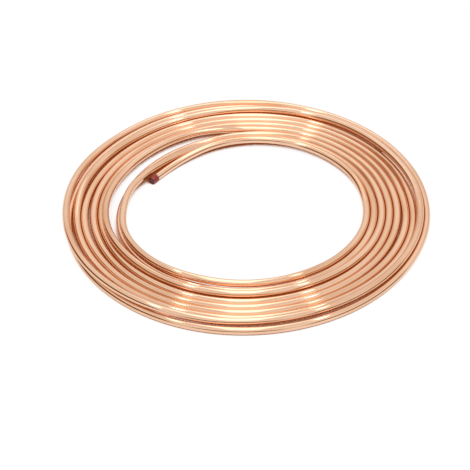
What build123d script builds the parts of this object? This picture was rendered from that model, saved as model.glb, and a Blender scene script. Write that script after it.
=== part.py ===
from build123d import *
import os
from functools import lru_cache
from math import acos, cos, pi, radians, sin, sqrt, tan

os.makedirs("parts", exist_ok=True)

# Stock tube: half inch outside diameter, soft drawn copper
tube_od = 12.7
tube_wall = 0.8

# Winding: a flat spiral of the outer radius, each turn one pitch inside the last
outer_radius = 309.4
turn_gap = 0.46
pitch = tube_od + turn_gap
start_deg = 35
end_deg = 3395
turn_deg = 360
station_deg = 15

# Slack of a coil that has been handled: slightly oval, slightly off centre
mean_dip = 4.6
oval = 6.0
oval_lean_deg = 7.4
shift_x = 1.15
shift_y = -1.2

# Puts the middle of the coil's outline on the origin
lay_x = -1.06
lay_y = 0.58

# The first turn is round and its end lies inside the second turn
first_turn_out_deg = 480
round_until_deg = 565
spiral_from_deg = 630

# Clearances between a turn that lies on others and the turns below
ride_gap = 0.9
lap = tube_od + ride_gap

# Arc between two straight runs takes this share of the shorter run
arc_share = 0.45

# Moulded end caps, cups pushed over the ends of the tube
cap_grip = 12.0
cap_wall = 0.5
cap_side_gap = 0.05
cap_floor = 1.5
cap_floor_gap = 0.1
cap_end_round = 0.8
cap_radius = tube_od / 2 + cap_side_gap + cap_wall
cap_reach = cap_floor_gap + cap_floor


# Slump of the whole pack, as direction and millimetres outward
slump = [(0, 0.0), (35, 1.4), (60, 1.2), (90, -2.2), (140, -6.3), (190, 0.5),
         (215, 0.8), (262, 2.6), (300, 1.0), (360, 0.0)]

# Places where a turn leaves the spiral, as angle along the tube and share of a pitch
drifts = [
    [(34, -1.035), (80, -1.3), (140, -1.42), (158, -1.2), (190, -0.3), (215, -0.08),
     (245, 0.0), (300, -0.25), (325, -0.28), (360, 0.0)],
    [(395, 0.0), (435, -0.2), (460, -0.2), (500, -0.25), (530, -0.25), (565, 0.0)],
    [(715, 0.0), (752, -0.68), (785, -0.45), (815, -0.1), (840, 0.0)],
    [(1022, 0.0), (1065, 0.2), (1095, -0.05), (1120, -0.05), (1150, 0.0)],
    [(1385, 0.0), (1440, 0.24), (1495, 0.0)],
    [(1595, 0.0), (1622, -0.23), (1640, -0.2), (1660, 0.0)],
    [(1960, 0.0), (1980, -0.12), (2010, -0.12), (2050, 0.0)],
    [(2250, 0.0), (2285, 0.15), (2330, 0.13), (2362, 0.43), (2395, 0.0)],
    [(2590, 0.0), (2642, -0.82), (2688, -0.98), (2724, -0.14), (2750, 0.0)],
    [(2960, 0.0), (2994, -0.78), (3022, -0.82), (3062, -0.2), (3080, 0.58),
     (3095, 0.8), (3108, 0.78), (3145, 0.0)],
    [(3318, 0.0), (3370, -0.86), (3382, -0.86), (3395, -0.67)],
]

# Stretches that lie up on their neighbours, as angle and share of a tube diameter
lifts = [
    [(480, 0.0), (553, 0.0), (577, 0.0), (620, 0.5), (640, 0.55), (700, 0.6),
     (732, 1.1), (765, 1.1), (808, 0.45), (875, 0.2), (903, 0.0)],
    [(2262, 0.0), (2300, 0.3), (2405, 0.5), (2458, 0.5), (2508, 0.0)],
    [(2990, 0.0), (3040, 0.4), (3127, 0.65), (3150, 0.45), (3180, 0.4), (3228, 0.0)],
    [(3250, 0.0), (3290, 0.5), (3318, 0.6), (3350, 0.7), (3380, 0.1)],
]


def ease(share):
    share = min(max(share, 0.0), 1.0)
    return share * share * (3 - 2 * share)


def eased(places, at_deg):
    for (from_deg, from_value), (to_deg, to_value) in zip(places, places[1:]):
        if at_deg <= to_deg:
            share = ease((at_deg - from_deg) / (to_deg - from_deg))
            return from_value + (to_value - from_value) * share
    return places[-1][1]


def within(places, at_deg):
    return places[0][0] <= at_deg <= places[-1][0]


def lies_up(at_deg):
    return any(within(places, at_deg) for places in lifts)


def loose_radius(at_deg):
    turns = at_deg / turn_deg - 1
    spiral = outer_radius - mean_dip - pitch * turns
    spiral += shift_x * cos(radians(at_deg)) + shift_y * sin(radians(at_deg))
    spiral += oval * cos(2 * radians(at_deg - oval_lean_deg)) + eased(slump, at_deg % turn_deg)
    share = ease((at_deg - round_until_deg) / (spiral_from_deg - round_until_deg))
    radius = outer_radius + (spiral - outer_radius) * share
    for places in drifts:
        if within(places, at_deg):
            radius += pitch * eased(places, at_deg)
    return radius


@lru_cache(None)
def turn_radius(at_deg):
    radius = loose_radius(at_deg)
    if lies_up(at_deg) or at_deg < first_turn_out_deg:
        return radius
    outer = [a for a in range(at_deg - turn_deg, start_deg - 1, -turn_deg) if not lies_up(a)]
    return min([radius] + [turn_radius(a) - pitch for a in outer])


@lru_cache(None)
def turn_height(at_deg):
    if at_deg <= start_deg + station_deg or at_deg >= end_deg - station_deg:
        return cap_radius - tube_od / 2
    if not lies_up(at_deg):
        return 0.0
    height = max(tube_od * eased(places, at_deg) for places in lifts if within(places, at_deg))
    first = start_deg + (at_deg - start_deg) % turn_deg
    for other in range(first, end_deg + 1, turn_deg):
        aside = abs(turn_radius(other) - turn_radius(at_deg))
        if not lies_up(other) and aside < lap:
            height = max(height, turn_height(other) + sqrt(lap**2 - aside**2))
    return height


def corner(at_deg):
    reach = turn_radius(at_deg)
    if start_deg < at_deg < end_deg:
        reach /= cos(radians(station_deg / 2))
    height = tube_od / 2 + turn_height(at_deg)
    return Vector(lay_x + reach * cos(radians(at_deg)), lay_y + reach * sin(radians(at_deg)), height)


# Corners of the winding, from the tucked outer end to the free inner end
stations = [*range(start_deg, end_deg, station_deg), end_deg]
corners = [corner(at_deg) for at_deg in stations]


# Copper tube: straight runs joined by tangent arcs, swept with the tube's ring section
with BuildPart() as copper_tube:
    with BuildLine() as route:
        run_from = corners[0]
        for before, here, after in zip(corners, corners[1:], corners[2:]):
            back = (before - here).normalized()
            ahead = (after - here).normalized()
            reach = arc_share * min((before - here).length, (after - here).length)
            turned = pi - acos(back.dot(ahead))
            middle = here + (back + ahead).normalized() * reach * tan(turned / 4)
            Line(run_from, here + back * reach)
            ThreePointArc(here + back * reach, middle, here + ahead * reach)
            run_from = here + ahead * reach
        Line(run_from, corners[-1])
    with BuildSketch(Plane(corners[0], z_dir=corners[1] - corners[0])):
        Circle(tube_od / 2)
        Circle(tube_od / 2 - tube_wall, mode=Mode.SUBTRACT)
    sweep(path=route.wires()[0])


# Moulded cap: a cup turned about the tube's axis, its closed end outward
with BuildPart() as end_cap:
    with BuildSketch(Plane.XZ) as cap_wall_section:
        bore_radius = cap_radius - cap_wall
        with BuildLine():
            Polyline(
                (0, cap_floor_gap), (bore_radius, cap_floor_gap), (bore_radius, -cap_grip),
                (cap_radius, -cap_grip), (cap_radius, cap_reach), (0, cap_reach), close=True)
        make_face()
        fillet(cap_wall_section.vertices().sort_by(Axis.Y)[-2:].sort_by(Axis.X)[-1], cap_end_round)
    revolve(axis=Axis.Z)

# The same cap on the tucked outer end and on the free end in the eye of the coil
with BuildPart(Plane(corners[0], z_dir=corners[0] - corners[1])) as outer_end_cap:
    add(end_cap.part)

with BuildPart(Plane(corners[-1], z_dir=corners[-1] - corners[-2])) as inner_end_cap:
    add(end_cap.part)

copper_tube.part.label = "copper_tube"
outer_end_cap.part.label = "outer_end_cap"
inner_end_cap.part.label = "inner_end_cap"
export_step(copper_tube.part, "parts/copper_tube.step")
export_step(outer_end_cap.part, "parts/outer_end_cap.step")
export_step(inner_end_cap.part, "parts/inner_end_cap.step")
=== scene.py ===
"""Dresses the coil of soft copper tube and lights it as it lies on a pale studio floor."""

import bmesh  # noqa: E402
import bpy  # noqa: E402
import logging  # noqa: E402
import math  # noqa: E402
from dataclasses import dataclass, field  # noqa: E402
from enum import Enum  # noqa: E402
from functools import lru_cache  # noqa: E402
from typing import Any, Iterable, Optional, Sequence  # noqa: E402
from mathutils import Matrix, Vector  # noqa: E402


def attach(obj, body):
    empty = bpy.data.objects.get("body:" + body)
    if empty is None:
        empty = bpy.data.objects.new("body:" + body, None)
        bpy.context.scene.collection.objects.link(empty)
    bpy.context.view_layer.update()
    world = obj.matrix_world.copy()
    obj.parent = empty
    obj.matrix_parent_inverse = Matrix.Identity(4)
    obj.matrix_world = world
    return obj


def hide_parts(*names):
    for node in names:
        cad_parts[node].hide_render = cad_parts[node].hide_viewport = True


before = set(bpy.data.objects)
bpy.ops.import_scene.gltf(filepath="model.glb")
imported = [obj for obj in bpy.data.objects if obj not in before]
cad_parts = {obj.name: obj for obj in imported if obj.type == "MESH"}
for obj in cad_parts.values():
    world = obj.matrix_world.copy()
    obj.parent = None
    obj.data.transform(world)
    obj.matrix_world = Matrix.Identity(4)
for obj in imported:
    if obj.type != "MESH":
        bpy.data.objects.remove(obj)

log = logging.getLogger("coil")

MM = 0.001
TURN_DEG = 360
PHOTO_SIDE_PX = 470

# An angle along the tube in degrees, with how far the tube leaves its turn there
Places = Sequence[tuple[float, float]]

# The Mix node's colour sockets, which share their names with its number and vector sockets
MIX_A, MIX_B, MIX_RESULT = 6, 7, 2

# Positions along a colour ramp with their hex colours, in order
Stops = Sequence[tuple[float, str]]


def srgb(text: str) -> tuple[float, float, float, float]:
    """Turns an sRGB hex colour to the linear colour that a shader takes.

    Args:
        text: six hex digits, with or without a leading hash.

    Returns:
        Linear red, green and blue, and an alpha of 1.
    """
    digits = text.lstrip("#")
    channels = [int(digits[i:i + 2], 16) / 255 for i in (0, 2, 4)]
    linear = [c / 12.92 if c <= 0.04045 else ((c + 0.055) / 1.055) ** 2.4 for c in channels]
    return linear[0], linear[1], linear[2], 1.0


def add_node(tree: bpy.types.NodeTree, kind: str, links: Optional[dict[Any, Any]] = None,
             inputs: Optional[dict[Any, Any]] = None, stops: Stops = (),
             **settings: Any) -> bpy.types.Node:
    """Adds one node with its settings, its socket values and its incoming links.

    Args:
        tree: the node tree that takes the node.
        kind: the node's type name.
        links: input socket name or number to the output socket that feeds it.
        inputs: input socket name or number to its value.
        stops: a colour ramp's positions and hex colours.
        settings: the node's own properties.

    Returns:
        The new node.
    """
    node = tree.nodes.new(kind)
    for name, value in settings.items():
        setattr(node, name, value)
    for name, value in (inputs or {}).items():
        node.inputs[name].default_value = value
    for name, socket in (links or {}).items():
        tree.links.new(socket, node.inputs[name])
    if stops:
        elements = node.color_ramp.elements
        elements[0].position, elements[-1].position = stops[0][0], stops[-1][0]
        for position, _ in stops[1:-1]:
            elements.new(position)
        for element, (_, text) in zip(elements, stops):
            element.color = srgb(text)
    return node


def new_material(name: str) -> tuple[bpy.types.Material, bpy.types.NodeTree]:
    """Makes an empty node material.

    Args:
        name: what the material is.

    Returns:
        The material and its cleared node tree.
    """
    material = bpy.data.materials.new(name)
    material.use_nodes = True
    material.node_tree.nodes.clear()
    return material, material.node_tree


def mesh_object(name: str, verts: Iterable[Vector], faces: Iterable[Sequence[int]]) -> bpy.types.Object:
    """Makes a smooth-shaded mesh object at the origin.

    Args:
        name: the piece's name.
        verts: corner points in metres.
        faces: corner numbers of each face.

    Returns:
        The new object, linked to the scene.
    """
    mesh = bpy.data.meshes.new(name)
    mesh.from_pydata([tuple(v) for v in verts], [], [tuple(f) for f in faces])
    mesh.validate()
    mesh.shade_smooth()
    made = bpy.data.objects.new(name, mesh)
    bpy.context.scene.collection.objects.link(made)
    return made


def face_outward(made: bpy.types.Object, weld_m: float = 0.0, crisp_deg: float = 180.0) -> None:
    """Turns a closed skin's faces outward.

    Args:
        made: the piece.
        weld_m: points nearer than this become one.
        crisp_deg: edges that bend more than this stay crisp under smooth shading.
    """
    mesh = bmesh.new()
    mesh.from_mesh(made.data)
    if weld_m:
        bmesh.ops.remove_doubles(mesh, verts=mesh.verts, dist=weld_m)
    bmesh.ops.recalc_face_normals(mesh, faces=mesh.faces)
    for edge in mesh.edges:
        if edge.is_manifold and edge.calc_face_angle() > math.radians(crisp_deg):
            edge.smooth = False
    mesh.to_mesh(made.data)
    mesh.free()


@dataclass
class RingedSkin:
    """Rings of points along a line, joined by bands of faces."""

    sides: int
    verts: list[Vector] = field(default_factory=list)
    faces: list[tuple[int, ...]] = field(default_factory=list)

    def ring(self, middle: Vector, side: Vector, up: Vector, radius: float) -> int:
        """Adds one ring of points.

        Args:
            middle: the ring's centre.
            side: first direction across the line.
            up: second direction across the line.
            radius: the ring's radius in metres.

        Returns:
            The number of its first point.
        """
        first = len(self.verts)
        for k in range(self.sides):
            turned = 2 * math.pi * k / self.sides
            across, upward = radius * math.cos(turned), radius * math.sin(turned)
            self.verts.append(middle + side * across + up * upward)
        return first

    def join(self, firsts: Sequence[int]) -> None:
        """Joins each ring to the next with a band of faces.

        Args:
            firsts: the number of each ring's first point.
        """
        for first, second in zip(firsts, firsts[1:]):
            for k in range(self.sides):
                n = (k + 1) % self.sides
                self.faces.append((first + k, first + n, second + n, second + k))


def ease(share: float) -> float:
    """Gives a smooth step from 0 to 1."""
    share = min(max(share, 0.0), 1.0)
    return share * share * (3 - 2 * share)


def eased(places: Places, at_deg: float) -> float:
    """Reads a value that passes smoothly from place to place.

    Args:
        places: angles along the tube with the value at each.
        at_deg: the angle to read at.

    Returns:
        The value there.
    """
    for (from_deg, from_value), (to_deg, to_value) in zip(places, places[1:]):
        if at_deg <= to_deg:
            share = ease((at_deg - from_deg) / (to_deg - from_deg))
            return from_value + (to_value - from_value) * share
    return places[-1][1]


def within(places: Places, at_deg: float) -> bool:
    """Says whether an angle lies in the stretch that the places cover."""
    return places[0][0] <= at_deg <= places[-1][0]


@dataclass(frozen=True)
class Winding:
    """The line that the tube's middle follows: a handled flat spiral, in millimetres.

    It repeats the sizes of the part's source, so the fine tube lies where the solid one does.
    """

    tube_od: float = 12.7
    turn_gap: float = 0.46
    ride_gap: float = 0.9
    outer_radius: float = 309.4
    start_deg: int = 35
    end_deg: int = 3395
    station_deg: int = 15
    mean_dip: float = 4.6
    oval: float = 6.0
    oval_lean_deg: float = 7.4
    shift_x: float = 1.15
    shift_y: float = -1.2
    lay_x: float = -1.06
    lay_y: float = 0.58
    first_turn_out_deg: int = 480
    round_until_deg: int = 565
    spiral_from_deg: int = 630
    capped_end_lift: float = 0.55
    slump: Places = (
        (0, 0.0), (35, 1.4), (60, 1.2), (90, -2.2), (140, -6.3), (190, 0.5), (215, 0.8),
        (262, 2.6), (300, 1.0), (360, 0.0),
    )
    drifts: tuple[Places, ...] = (
        ((34, -1.035), (80, -1.3), (140, -1.42), (158, -1.2), (190, -0.3), (215, -0.08),
         (245, 0.0), (300, -0.25), (325, -0.28), (360, 0.0)),
        ((395, 0.0), (435, -0.2), (460, -0.2), (500, -0.25), (530, -0.25), (565, 0.0)),
        ((715, 0.0), (752, -0.68), (785, -0.45), (815, -0.1), (840, 0.0)),
        ((1022, 0.0), (1065, 0.2), (1095, -0.05), (1120, -0.05), (1150, 0.0)),
        ((1385, 0.0), (1440, 0.24), (1495, 0.0)),
        ((1595, 0.0), (1622, -0.23), (1640, -0.2), (1660, 0.0)),
        ((1960, 0.0), (1980, -0.12), (2010, -0.12), (2050, 0.0)),
        ((2250, 0.0), (2285, 0.15), (2330, 0.13), (2362, 0.43), (2395, 0.0)),
        ((2590, 0.0), (2642, -0.82), (2688, -0.98), (2724, -0.14), (2750, 0.0)),
        ((2960, 0.0), (2994, -0.78), (3022, -0.82), (3062, -0.2), (3080, 0.58), (3095, 0.8),
         (3108, 0.78), (3145, 0.0)),
        ((3318, 0.0), (3370, -0.86), (3382, -0.86), (3395, -0.67)),
    )
    lifts: tuple[Places, ...] = (
        ((480, 0.0), (553, 0.0), (577, 0.0), (620, 0.5), (640, 0.55), (700, 0.6), (732, 1.1),
         (765, 1.1), (808, 0.45), (875, 0.2), (903, 0.0)),
        ((2262, 0.0), (2300, 0.3), (2405, 0.5), (2458, 0.5), (2508, 0.0)),
        ((2990, 0.0), (3040, 0.4), (3127, 0.65), (3150, 0.45), (3180, 0.4), (3228, 0.0)),
        ((3250, 0.0), (3290, 0.5), (3318, 0.6), (3350, 0.7), (3380, 0.1)),
    )

    @property
    def pitch(self) -> float:
        """Gives how far each turn lies inside the last."""
        return self.tube_od + self.turn_gap

    @property
    def lap(self) -> float:
        """Gives how near the middle lines of two turns come where one lies on the other."""
        return self.tube_od + self.ride_gap

    def lies_up(self, at_deg: int) -> bool:
        """Says whether the tube lies up on its neighbours at an angle."""
        return any(within(places, at_deg) for places in self.lifts)

    def loose_radius(self, at_deg: int) -> float:
        """Gives the spiral's radius before its turns press on each other.

        Args:
            at_deg: the angle along the tube.

        Returns:
            The radius in millimetres.
        """
        spiral = self.outer_radius - self.mean_dip - self.pitch * (at_deg / TURN_DEG - 1)
        spiral += self.shift_x * math.cos(math.radians(at_deg))
        spiral += self.shift_y * math.sin(math.radians(at_deg))
        spiral += self.oval * math.cos(2 * math.radians(at_deg - self.oval_lean_deg))
        spiral += eased(self.slump, at_deg % TURN_DEG)
        share = ease((at_deg - self.round_until_deg) / (self.spiral_from_deg - self.round_until_deg))
        radius = self.outer_radius + (spiral - self.outer_radius) * share
        for places in self.drifts:
            if within(places, at_deg):
                radius += self.pitch * eased(places, at_deg)
        return radius

    @lru_cache(None)
    def radius(self, at_deg: int) -> float:
        """Gives the turn's radius, inside the turns that lie flat outside it.

        Args:
            at_deg: the angle along the tube.

        Returns:
            The radius in millimetres.
        """
        radius = self.loose_radius(at_deg)
        if self.lies_up(at_deg) or at_deg < self.first_turn_out_deg:
            return radius
        before = range(at_deg - TURN_DEG, self.start_deg - 1, -TURN_DEG)
        flat = [other for other in before if not self.lies_up(other)]
        return min([radius] + [self.radius(other) - self.pitch for other in flat])

    @lru_cache(None)
    def height(self, at_deg: int) -> float:
        """Gives how far the tube is lifted off the floor by its caps or by the turns under it.

        Args:
            at_deg: the angle along the tube.

        Returns:
            The lift in millimetres.
        """
        if at_deg <= self.start_deg + self.station_deg or at_deg >= self.end_deg - self.station_deg:
            return self.capped_end_lift
        if not self.lies_up(at_deg):
            return 0.0
        height = max(self.tube_od * eased(p, at_deg) for p in self.lifts if within(p, at_deg))
        first = self.start_deg + (at_deg - self.start_deg) % TURN_DEG
        for other in range(first, self.end_deg + 1, TURN_DEG):
            aside = abs(self.radius(other) - self.radius(at_deg))
            if not self.lies_up(other) and aside < self.lap:
                height = max(height, self.height(other) + math.sqrt(self.lap**2 - aside**2))
        return height

    def corner(self, at_deg: int) -> Vector:
        """Gives one corner of the run that the tube's middle line rounds off.

        Args:
            at_deg: the angle along the tube.

        Returns:
            The corner in metres.
        """
        reach = self.radius(at_deg)
        if self.start_deg < at_deg < self.end_deg:
            reach /= math.cos(math.radians(self.station_deg / 2))
        angle = math.radians(at_deg)
        return MM * Vector((self.lay_x + reach * math.cos(angle), self.lay_y + reach * math.sin(angle),
                            self.tube_od / 2 + self.height(at_deg)))

    def corners(self) -> list[Vector]:
        """Gives all corners from the tucked outer end to the free inner end."""
        stations = [*range(self.start_deg, self.end_deg, self.station_deg), self.end_deg]
        return [self.corner(at_deg) for at_deg in stations]

    def middle_line(self, steps: int) -> list[Vector]:
        """Rounds the corners off into one smooth line.

        Args:
            steps: pieces that each rounded corner is cut into.

        Returns:
            Points along the tube's middle line, in metres.
        """
        corners = self.corners()
        line = [corners[0], corners[0].lerp(corners[1], 0.25)]
        for before, here, after in zip(corners, corners[1:], corners[2:]):
            enter, leave = before.lerp(here, 0.5), here.lerp(after, 0.5)
            for i in range(steps):
                t = i / steps
                line.append(enter * (1 - t) ** 2 + here * 2 * t * (1 - t) + leave * t * t)
        line += [corners[-2].lerp(corners[-1], 0.5), corners[-2].lerp(corners[-1], 0.75), corners[-1]]
        return line


class TubeTemper(Enum):
    """How hard the tube was left after drawing, which sets how much its surface waves."""

    SOFT = 1.0
    HARD = 0.3


@dataclass(frozen=True)
class DrawnCopper:
    """Bright annealed copper tube, drawn through a die.

    The die leaves faint lines along the tube, which smear a highlight a little across it. Air and
    hands leave a thin brown film in patches, so the metal isn't one colour from end to end. Real die
    lines are finer than the render shows, so they are drawn about a millimetre wide.
    """

    bright: str = "#F6CCAD"
    filmed: str = "#CE8C57"
    roughness: float = 0.055
    film_roughness: float = 0.08
    film_mm: tuple[float, float] = (55.0, 260.0)
    film_from: float = 0.46
    film_full: float = 0.74
    film_most: float = 0.6
    draw_line_mm: tuple[float, float] = (1.1, 400.0)
    draw_line_tone: float = 0.16
    draw_line_roughness: float = 0.03
    draw_line_depth_mm: float = 0.02
    draw_line_bump: float = 0.12
    wave_mm: tuple[float, float] = (90.0, 90.0)
    wave_depth_mm: float = 0.8
    wave_bump: float = 0.3
    temper: TubeTemper = TubeTemper.SOFT

    def material(self) -> bpy.types.Material:
        """Builds the copper's nodes.

        Returns:
            The material.
        """
        material, tree = new_material("drawn_copper")

        # Brown film in long patches, never quite hiding the metal
        film = self._streaks(tree, self.film_mm, detail=5.0, roughness=0.6)
        film_share = add_node(tree, "ShaderNodeMapRange", {"Value": film},
                              {"From Min": self.film_from, "From Max": self.film_full,
                               "To Max": self.film_most}).outputs["Result"]

        # Die lines run the tube's whole length and catch a little film
        lines = self._streaks(tree, self.draw_line_mm, detail=3.0, roughness=0.55)
        line_share = add_node(tree, "ShaderNodeMapRange", {"Value": lines},
                              {"From Min": 0.3, "From Max": 0.7}).outputs["Result"]
        browned = add_node(tree, "ShaderNodeMath", {0: line_share, 2: film_share},
                           {1: self.draw_line_tone}, operation="MULTIPLY_ADD")
        colour = add_node(tree, "ShaderNodeMix", {"Factor": browned.outputs[0]},
                          {MIX_A: srgb(self.bright), MIX_B: srgb(self.filmed)}, data_type="RGBA")
        dulled = add_node(tree, "ShaderNodeMath", {0: film_share},
                          {1: self.film_roughness, 2: self.roughness}, operation="MULTIPLY_ADD")
        roughness = add_node(tree, "ShaderNodeMath", {0: line_share, 2: dulled.outputs[0]},
                             {1: self.draw_line_roughness}, operation="MULTIPLY_ADD")

        # Fine ridges smear a highlight across the tube, slow waves let it wander
        ridged = add_node(tree, "ShaderNodeBump", {"Height": lines},
                          {"Strength": self.draw_line_bump, "Distance": self.draw_line_depth_mm * MM})
        waves = self._streaks(tree, self.wave_mm, detail=1.0, roughness=0.5)
        depth = self.temper.value * self.wave_depth_mm * MM
        waved = add_node(tree, "ShaderNodeBump", {"Height": waves, "Normal": ridged.outputs["Normal"]},
                         {"Strength": self.wave_bump, "Distance": depth})
        shader = add_node(tree, "ShaderNodeBsdfPrincipled",
                          {"Base Color": colour.outputs[MIX_RESULT],
                           "Roughness": roughness.outputs[0], "Normal": waved.outputs["Normal"]},
                          {"Metallic": 1.0})
        add_node(tree, "ShaderNodeOutputMaterial", {"Surface": shader.outputs["BSDF"]})
        return material

    @staticmethod
    def _streaks(tree: bpy.types.NodeTree, size_mm: tuple[float, float], detail: float,
                 roughness: float) -> bpy.types.NodeSocket:
        """Strews streaks over the tube as if it were laid out straight.

        Args:
            tree: the copper's node tree.
            size_mm: a streak's width round the tube and its length.
            detail: how many finer layers they have.
            roughness: how strong the finer layers are.

        Returns:
            A socket from 0 between the streaks to 1 on them.
        """
        across, along = (1 / (size * MM) for size in size_mm)
        laid = add_node(tree, "ShaderNodeAttribute", attribute_name="laid_straight")
        placed = add_node(tree, "ShaderNodeMapping", {"Vector": laid.outputs["Vector"]},
                          {"Scale": (across, across, along)})
        noise = add_node(tree, "ShaderNodeTexNoise", {"Vector": placed.outputs["Vector"]},
                         {"Scale": 1.0, "Detail": detail, "Roughness": roughness})
        return noise.outputs["Fac"]


@dataclass(frozen=True)
class MouldedCapPlastic:
    """Soft wine-red PVC, dip moulded.

    Its skin gives a wide, soft highlight broken up by a fine grain, drawn coarser than it is. Dust
    pales it along the side, and the rounded end is painted darker, a painted shade.
    """

    colour: str = "#B4473A"
    dusty: str = "#C26C5D"
    deep: str = "#85251C"
    # Painted shade on the closed end, not the plastic's own colour
    end_painted_shade_colour: str = "#5E0D0B"
    roughness: tuple[float, float] = (0.34, 0.54)
    grain_mm: float = 0.9
    grain_depth_mm: float = 0.08
    grain_bump: float = 0.3
    dust_mm: float = 6.0

    def material(self) -> bpy.types.Material:
        """Builds the plastic's nodes.

        Returns:
            The material.
        """
        material, tree = new_material("dipped_pvc")
        place = add_node(tree, "ShaderNodeTexCoord").outputs["Object"]
        grain = add_node(tree, "ShaderNodeTexNoise", {"Vector": place},
                         {"Scale": 1 / (self.grain_mm * MM), "Detail": 3.0}).outputs["Fac"]
        dust = add_node(tree, "ShaderNodeTexNoise", {"Vector": place},
                        {"Scale": 1 / (self.dust_mm * MM), "Detail": 4.0}).outputs["Fac"]
        worn = add_node(tree, "ShaderNodeValToRGB", {"Fac": dust},
                        stops=((0.3, self.deep), (0.5, self.colour), (0.72, self.dusty)))
        bump = add_node(tree, "ShaderNodeBump", {"Height": grain},
                        {"Strength": self.grain_bump, "Distance": self.grain_depth_mm * MM})
        rough = add_node(tree, "ShaderNodeMapRange", {"Value": grain},
                         {"To Min": self.roughness[0], "To Max": self.roughness[1]})
        end = add_node(tree, "ShaderNodeAttribute", attribute_name="end_painted_shade_share")
        # Painted shade: the closed end's colour is mixed towards a darker red
        with_painted_shade = add_node(tree, "ShaderNodeMix",
                         {"Factor": end.outputs["Fac"], MIX_A: worn.outputs["Color"]},
                         {MIX_B: srgb(self.end_painted_shade_colour)}, data_type="RGBA")
        shader = add_node(tree, "ShaderNodeBsdfPrincipled",
                          {"Base Color": with_painted_shade.outputs[MIX_RESULT],
                           "Roughness": rough.outputs["Result"], "Normal": bump.outputs["Normal"]})
        add_node(tree, "ShaderNodeOutputMaterial", {"Surface": shader.outputs["BSDF"]})
        return material


@dataclass
class CopperTube:
    """The one long tube, wound into the coil, with its bore open at both ends."""

    winding: Winding
    finish: DrawnCopper
    wall_mm: float = 0.8
    sides: int = 32
    corner_steps: int = 8
    bore_every: int = 2
    crisp_deg: float = 60.0

    def build(self) -> bpy.types.Object:
        """Builds the tube's skin, its cut ends and the bore between them.

        Returns:
            The dressed tube.
        """
        line = self.winding.middle_line(self.corner_steps)
        frames = self._carried_frames(self._tangents(line))
        run = [0.0]
        for before, here in zip(line, line[1:]):
            run.append(run[-1] + (here - before).length)
        outer = self.winding.tube_od / 2 * MM
        inner = outer - self.wall_mm * MM
        last = len(line) - 1
        stops = [(i, outer) for i in range(last + 1)]
        stops += [(i, inner) for i in sorted({*range(0, last, self.bore_every), last})]
        wound = RingedSkin(self.sides)
        laid = RingedSkin(self.sides)
        firsts = []
        for i, radius in stops:
            firsts.append(wound.ring(line[i], *frames[i], radius))
            laid.ring(Vector((0, 0, run[i])), Vector((1, 0, 0)), Vector((0, 1, 0)), radius)

        # Along the skin, over one cut end, back through the bore and over the other cut end
        skin, bore = firsts[:last + 1], firsts[last + 1:]
        wound.join([*skin, *bore[::-1], skin[0]])
        made = mesh_object("copper_tube_skin", wound.verts, wound.faces)
        layer = made.data.attributes.new("laid_straight", "FLOAT_VECTOR", "POINT")
        layer.data.foreach_set("vector", [part for point in laid.verts for part in point])
        face_outward(made, crisp_deg=self.crisp_deg)
        made.data.materials.append(self.finish.material())
        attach(made, "root")
        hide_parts("copper_tube")
        return made

    @staticmethod
    def _tangents(line: Sequence[Vector]) -> list[Vector]:
        """Gives the line's direction at each point."""
        last = len(line) - 1
        return [(line[min(i + 1, last)] - line[max(i - 1, 0)]).normalized() for i in range(last + 1)]

    @staticmethod
    def _carried_frames(tangents: Sequence[Vector]) -> list[tuple[Vector, Vector]]:
        """Carries one cross direction along the line without twist.

        Args:
            tangents: the line's direction at each point.

        Returns:
            Two directions across the line at each point.
        """
        up = Vector((0, 0, 1))
        frames = []
        for tangent in tangents:
            up = (up - tangent * up.dot(tangent)).normalized()
            frames.append((up.cross(tangent), up))
        return frames


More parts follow.
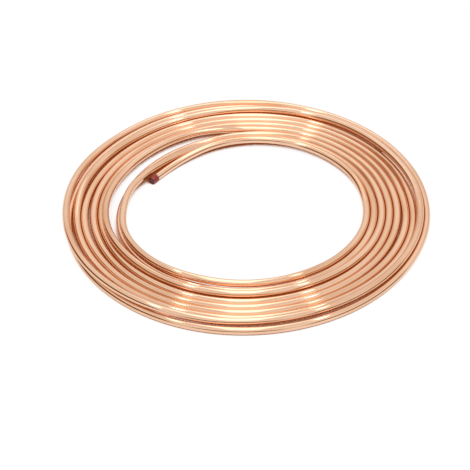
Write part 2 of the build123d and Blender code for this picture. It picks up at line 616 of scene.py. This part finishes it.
@dataclass
class EndCap:
    """A dip-moulded cap that grips one end of the tube."""

    name: str
    node: str
    tip: Vector
    outward: Vector
    finish: MouldedCapPlastic
    radius_mm: float = 6.9
    bore_mm: float = 6.4
    grip_mm: float = 12.0
    end_mm: float = 1.6
    floor_gap_mm: float = 0.1
    end_round_mm: float = 0.9
    end_dish_mm: float = 0.25
    lip_round_mm: float = 0.2
    inner_round_mm: float = 0.3
    end_edge_mm: float = 0.5
    sides: int = 48
    weld_m: float = 1e-6

    def build(self) -> bpy.types.Object:
        """Turns the cup's wall about the tube's axis.

        Returns:
            The dressed cap.
        """
        side = self.outward.orthogonal().normalized()
        up = self.outward.cross(side)
        cup = RingedSkin(self.sides)
        cup.join([cup.ring(self.tip + self.outward * (along * MM), side, up, radius * MM)
                  for radius, along in self._wall()])
        made = mesh_object(self.name, cup.verts, cup.faces)
        face_outward(made, self.weld_m)
        self._mark_end_for_painted_shade(made)
        made.data.materials.append(self.finish.material())
        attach(made, "root")
        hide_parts(self.node)
        return made

    def _mark_end_for_painted_shade(self, made: bpy.types.Object) -> None:
        """Marks the outside of the closed end for the painted shade, a darker colour.

        Args:
            made: the cap.
        """
        layer = made.data.attributes.new("end_painted_shade_share", "FLOAT", "POINT")
        edge = (self.end_mm - self.end_edge_mm) * MM
        heights = [(vertex.co - self.tip).dot(self.outward) for vertex in made.data.vertices]
        layer.data.foreach_set("value", [float(height > edge) for height in heights])

    def _wall(self) -> list[tuple[float, float]]:
        """Gives the wall's outline, from the end's outside round the lip to the floor of the cup.

        Returns:
            Radius and distance along the axis of each point, in millimetres.
        """
        outer, bore, end, lip = self.radius_mm, self.bore_mm, self.end_mm, self.lip_round_mm
        bend, mouth, floor = self.end_round_mm, -self.grip_mm, self.floor_gap_mm
        dish = [(0.0, end - self.end_dish_mm), (outer * 0.45, end - self.end_dish_mm * 0.8),
                (outer * 0.62, end - self.end_dish_mm * 0.24), (outer - bend - 0.5, end)]
        shoulder = [(outer - bend + bend * math.sin(a), end - bend + bend * math.cos(a))
                    for a in (0.0, 0.4, 0.8, 1.2, math.pi / 2)]
        rim = [(outer, mouth / 2), (outer, mouth + lip), (outer - lip * 0.4, mouth),
               (bore + lip * 0.4, mouth), (bore, mouth + lip), (bore, mouth / 2)]
        inside = [(bore, floor - self.inner_round_mm), (bore - self.inner_round_mm, floor),
                  (bore / 2, floor), (0.0, floor)]
        return dish + shoulder + rim + inside


@dataclass(frozen=True)
class StudioPaper:
    """White paper sweep, exposed until it is as white as the page, with a faint contact shadow.

    Between turns that nearly touch, the paper is painted dark brown, a painted shade standing for light
    that has bounced off copper, and beside the coil it is painted peach, a painted bounce light. The
    contact shadow is partly cast by the lamps and partly painted. Its tooth is drawn coarser than it is.
    """

    colour: str = "#F2F2F2"
    # Painted bounce light beside the coil, and painted shade in the slits
    painted_bounce_colour: str = "#D8925E"
    painted_slit_shade_colour: str = "#7A3C18"
    glow: float = 1.19
    glow_share: float = 0.9
    shade_reach_mm: float = 28.0
    shut_in: float = 0.24
    wide_open: float = 0.33
    tooth_mm: float = 1.11
    tooth_depth_mm: float = 0.05
    tooth_bump: float = 0.05

    def material(self) -> bpy.types.Material:
        """Builds the floor's nodes.

        Returns:
            The material.
        """
        material, tree = new_material("white_paper")
        coords = add_node(tree, "ShaderNodeTexCoord")
        tooth = add_node(tree, "ShaderNodeTexNoise", {"Vector": coords.outputs["Object"]},
                         {"Scale": 1 / (self.tooth_mm * MM), "Detail": 2.0})
        bump = add_node(tree, "ShaderNodeBump", {"Height": tooth.outputs["Fac"]},
                        {"Strength": self.tooth_bump, "Distance": self.tooth_depth_mm * MM})

        # How much open air the paper has over it, from none in a slit to all beside the coil, which sets
        # where shade and bounce light are painted
        openness = add_node(tree, "ShaderNodeAmbientOcclusion", None,
                            {"Distance": self.shade_reach_mm * MM}, samples=16)
        open_share = add_node(tree, "ShaderNodeMapRange", {"Value": openness.outputs["AO"]},
                              {"From Min": self.shut_in, "From Max": self.wide_open})
        # Painted shade and painted bounce light: dark brown in slits, peach at the coil's edge, white in
        # the open
        with_painted_shade = add_node(tree, "ShaderNodeValToRGB", {"Fac": open_share.outputs["Result"]},
                         stops=((0.0, self.painted_slit_shade_colour), (0.5, self.painted_bounce_colour), (1.0, self.colour)))
        paper = add_node(tree, "ShaderNodeBsdfDiffuse",
                         {"Color": with_painted_shade.outputs["Color"], "Normal": bump.outputs["Normal"]})
        glow = add_node(tree, "ShaderNodeEmission", {"Color": with_painted_shade.outputs["Color"]},
                        {"Strength": self.glow})

        # The glow is only seen or mirrored, and casts no light on the coil
        path = add_node(tree, "ShaderNodeLightPath")
        seen = path.outputs["Is Camera Ray"]
        for kind in ("Is Glossy Ray", "Is Transmission Ray"):
            either = add_node(tree, "ShaderNodeMath", {0: seen, 1: path.outputs[kind]},
                              operation="MAXIMUM")
            seen = either.outputs[0]
        share = add_node(tree, "ShaderNodeMath", {0: seen}, {1: self.glow_share}, operation="MULTIPLY")
        mixed = add_node(tree, "ShaderNodeMixShader", {0: share.outputs[0], 1: paper.outputs[0],
                                                       2: glow.outputs[0]})
        add_node(tree, "ShaderNodeOutputMaterial", {"Surface": mixed.outputs[0]})
        return material


@dataclass(frozen=True)
class DarkCard:
    """A low dark thing at the edge of the studio, which the copper mirrors as a brown line."""

    toward_deg: float
    half_width_deg: float
    top_deg: float
    soft_deg: float = 4.0

    def shade(self, tree: bpy.types.NodeTree, direction: bpy.types.NodeSocket,
              height: bpy.types.NodeSocket) -> bpy.types.NodeSocket:
        """Adds the nodes that say how much of a direction the card covers.

        Args:
            tree: the surroundings' node tree.
            direction: the direction looked in.
            height: that direction's upward part.

        Returns:
            A socket from 0, beside the card, to 1 on it.
        """
        toward = math.radians(self.toward_deg)
        facing = add_node(tree, "ShaderNodeVectorMath", {0: direction},
                          {1: (math.cos(toward), math.sin(toward), 0.0)}, operation="DOT_PRODUCT")
        ends = (self.soft_deg, -self.soft_deg)
        sides = [math.cos(math.radians(self.half_width_deg + end)) for end in ends]
        tops = [math.sin(math.radians(self.top_deg + end)) for end in ends]
        inside = []
        for value, (start, full) in ((facing.outputs["Value"], sides), (height, tops)):
            step = add_node(tree, "ShaderNodeMapRange", {"Value": value},
                            {"From Min": start, "From Max": full}, interpolation_type="SMOOTHSTEP")
            inside.append(step.outputs["Result"])
        covered = add_node(tree, "ShaderNodeMath", {0: inside[0], 1: inside[1]}, operation="MULTIPLY")
        return covered.outputs[0]


@dataclass(frozen=True)
class StripLight:
    """A rectangular lamp that hangs level over the coil and runs away from the camera."""

    name: str
    across_m: float
    width_m: float
    near_m: float
    far_m: float
    radiance: float
    turned_deg: float = 0.0
    hung_m: float = 2.3

    def hang(self) -> None:
        """Makes the lamp."""
        lamp = bpy.data.lights.new(self.name, "AREA")
        lamp.shape = "RECTANGLE"
        lamp.size = self.width_m
        lamp.size_y = self.far_m - self.near_m
        lamp.energy = self.radiance * math.pi * lamp.size * lamp.size_y
        made = bpy.data.objects.new(self.name, lamp)
        made.location = (self.across_m, (self.near_m + self.far_m) / 2, self.hung_m)
        made.rotation_euler = (0.0, 0.0, math.radians(self.turned_deg))
        bpy.context.scene.collection.objects.link(made)


@dataclass(frozen=True)
class PaleRoom:
    """The room round the coil: plain white to the eye, softer as a light.

    In the copper its walls are greyer at the foot and its ceiling a little darker than the walls, so
    each turn shades across its width instead of mirroring one flat white.
    """

    glow: float = 0.55
    wall_foot: float = 0.70
    wall_top: float = 1.0
    wall_heights: tuple[float, float] = (0.1, 0.6)
    ceiling: float = 0.88
    ceiling_heights: tuple[float, float] = (0.64, 0.84)
    card_colour: str = "#7A5A3A"
    cards: tuple[DarkCard, ...] = (
        DarkCard(toward_deg=185.0, half_width_deg=45.0, top_deg=34.0),
        DarkCard(toward_deg=266.0, half_width_deg=26.0, top_deg=20.0),
        DarkCard(toward_deg=338.0, half_width_deg=34.0, top_deg=21.0),
    )

    def build(self) -> None:
        """Makes the world."""
        world = bpy.data.worlds.new("pale_room")
        bpy.context.scene.world = world
        world.use_nodes = True
        tree = world.node_tree
        tree.nodes.clear()
        direction = add_node(tree, "ShaderNodeTexCoord").outputs["Generated"]
        height = add_node(tree, "ShaderNodeSeparateXYZ", {0: direction}).outputs["Z"]
        path = add_node(tree, "ShaderNodeLightPath")
        mirrors = path.outputs["Is Glossy Ray"]

        # Strength 1 to the eye, less where the room lights the coil, graded where copper mirrors it
        seen = add_node(tree, "ShaderNodeMath", {0: path.outputs["Is Camera Ray"],
                                                 1: path.outputs["Is Transmission Ray"]},
                        operation="MAXIMUM")
        plain = add_node(tree, "ShaderNodeMapRange", {"Value": seen.outputs[0]},
                         {"To Min": self.glow, "To Max": 1.0})
        graded = self._graded(tree, height)
        strength = add_node(tree, "ShaderNodeMapRange",
                            {"Value": mirrors, "To Min": plain.outputs["Result"], "To Max": graded})
        white = add_node(tree, "ShaderNodeBackground", {"Strength": strength.outputs["Result"]},
                         {"Color": srgb("#FFFFFF")})
        brown = add_node(tree, "ShaderNodeBackground", None,
                         {"Color": srgb(self.card_colour), "Strength": 1.0})
        covered, *others = [card.shade(tree, direction, height) for card in self.cards]
        for other in others:
            either = add_node(tree, "ShaderNodeMath", {0: covered, 1: other}, operation="MAXIMUM")
            covered = either.outputs[0]
        mirrored = add_node(tree, "ShaderNodeMath", {0: covered, 1: mirrors}, operation="MULTIPLY")
        both = add_node(tree, "ShaderNodeMixShader", {0: mirrored.outputs[0], 1: white.outputs[0],
                                                      2: brown.outputs[0]})
        add_node(tree, "ShaderNodeOutputWorld", {"Surface": both.outputs[0]})

    def _graded(self, tree: bpy.types.NodeTree, height: bpy.types.NodeSocket) -> bpy.types.NodeSocket:
        """Adds the nodes that grade the walls and the ceiling.

        Args:
            tree: the surroundings' node tree.
            height: the upward part of the direction looked in.

        Returns:
            The room's strength as the copper mirrors it.
        """
        low, high = self.wall_heights
        wall = add_node(tree, "ShaderNodeMapRange", {"Value": height},
                        {"From Min": low, "From Max": high, "To Min": self.wall_foot,
                         "To Max": self.wall_top}, interpolation_type="SMOOTHSTEP")
        low, high = self.ceiling_heights
        room = add_node(tree, "ShaderNodeMapRange", {"Value": height, "To Min": wall.outputs["Result"]},
                        {"From Min": low, "From Max": high, "To Max": self.ceiling},
                        interpolation_type="SMOOTHSTEP")
        return room.outputs["Result"]


@dataclass(frozen=True)
class PhotoCamera:
    """The camera, where the photograph was taken from."""

    elevation_deg: float = 39.2
    distance_m: float = 3.319
    pixel_mm: float = 1.716
    aim_mm: tuple[float, float, float] = (-1.06, 0.58, 6.35)
    aim_px: tuple[float, float] = (246.0, 208.7)
    sensor_mm: float = 36.0

    def build(self) -> None:
        """Stands the camera, shifted so that the coil falls where the photograph has it."""
        camera = bpy.data.cameras.new("camera")
        camera.sensor_width = self.sensor_mm
        camera.lens = self.sensor_mm * self.distance_m / (PHOTO_SIDE_PX * self.pixel_mm * MM)
        middle = PHOTO_SIDE_PX / 2
        camera.shift_x = (middle - self.aim_px[0]) / PHOTO_SIDE_PX
        camera.shift_y = (self.aim_px[1] - middle) / PHOTO_SIDE_PX
        made = bpy.data.objects.new("camera", camera)
        tilt = math.radians(self.elevation_deg)
        away = Vector((0, -math.cos(tilt), math.sin(tilt)))
        made.location = MM * Vector(self.aim_mm) + away * self.distance_m
        made.rotation_mode = "QUATERNION"
        made.rotation_quaternion = (-away).to_track_quat("-Z", "Y")
        bpy.context.scene.collection.objects.link(made)
        bpy.context.scene.camera = made


@dataclass
class Studio:
    """Floor, lamps, surroundings and camera."""

    paper: StudioPaper = StudioPaper()
    room: PaleRoom = PaleRoom()
    camera: PhotoCamera = PhotoCamera()
    floor_half_m: float = 6.0
    lights: tuple[StripLight, ...] = (
        StripLight("middle_strip", across_m=0.0, width_m=0.56, near_m=-1.3, far_m=2.3, radiance=1.1),
        StripLight("left_strip", across_m=-0.78, width_m=0.17, near_m=-0.6, far_m=0.6, radiance=2.7,
                   turned_deg=-22.3),
        StripLight("right_strip", across_m=0.89, width_m=0.17, near_m=-0.6, far_m=0.6, radiance=2.7,
                   turned_deg=25.5),
    )

    def build(self) -> None:
        """Sets up the whole studio."""
        self._floor()
        self.room.build()
        for light in self.lights:
            light.hang()
        self.camera.build()
        bpy.context.scene.view_settings.view_transform = "Standard"

    def _floor(self) -> None:
        """Lays the paper on the floor."""
        half = self.floor_half_m
        signs = ((-1, -1), (1, -1), (1, 1), (-1, 1))
        corners = [Vector((x * half, y * half, 0)) for x, y in signs]
        floor = mesh_object("studio_floor", corners, [(0, 1, 2, 3)])
        floor.data.materials.append(self.paper.material())


def main() -> None:
    """Builds the tube, the caps and the studio in order, and notes the sizes."""
    logging.basicConfig(level=logging.INFO, format="%(name)s: %(message)s")
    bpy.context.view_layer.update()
    winding = Winding()
    corners = winding.corners()
    tube = CopperTube(winding, DrawnCopper()).build()
    log.info("%s: %d faces", tube.name, len(tube.data.polygons))
    plastic = MouldedCapPlastic()
    ends = {"inner_cap": ("inner_end_cap", corners[-1], corners[-2]),
            "outer_cap": ("outer_end_cap", corners[0], corners[1])}
    for name, (node, tip, behind) in ends.items():
        cap = EndCap(name, node, tip, (tip - behind).normalized(), plastic).build()
        log.info("%s: %d faces", cap.name, len(cap.data.polygons))
    Studio().build()
    log.info("studio ready")


if __name__ == "__main__":
    main()
